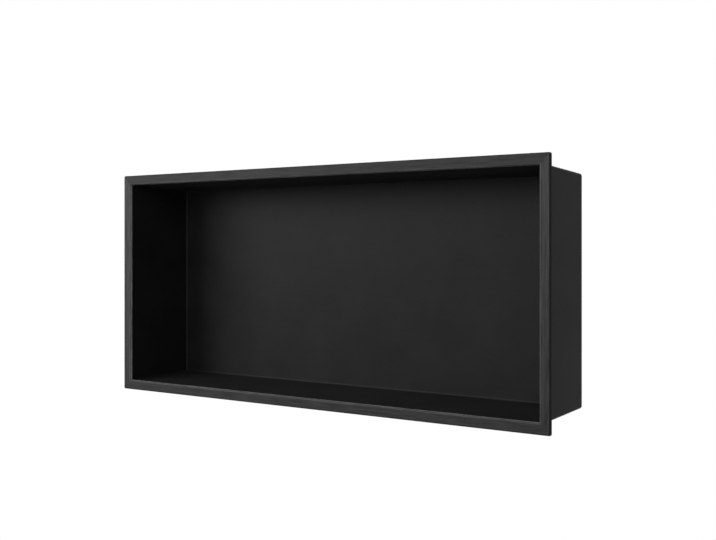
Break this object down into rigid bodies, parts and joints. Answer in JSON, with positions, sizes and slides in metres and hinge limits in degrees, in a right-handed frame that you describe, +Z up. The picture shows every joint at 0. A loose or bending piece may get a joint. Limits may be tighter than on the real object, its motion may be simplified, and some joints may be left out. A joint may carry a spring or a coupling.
{
  "type": "shower niche insert",
  "caption": "Wide recessed wall box of black sheet steel, open at the front, with walls that lean in towards the back and a slim folded frame that covers the edge of the wall opening.",
  "frame": {"origin": "middle of the opening, in the plane of the wall face that the frame seats on", "axes": "+X along the width, +Y into the wall, +Z up; the open front faces -Y"},
  "size_m": [0.682, 0.105, 0.3],
  "materials": {
    "black_steel": "satin black over brushed sheet steel, with the grain along each side of the frame"
  },
  "bodies": {
    "root": {"niche_body": "black_steel"}
  },
  "joints": []
}
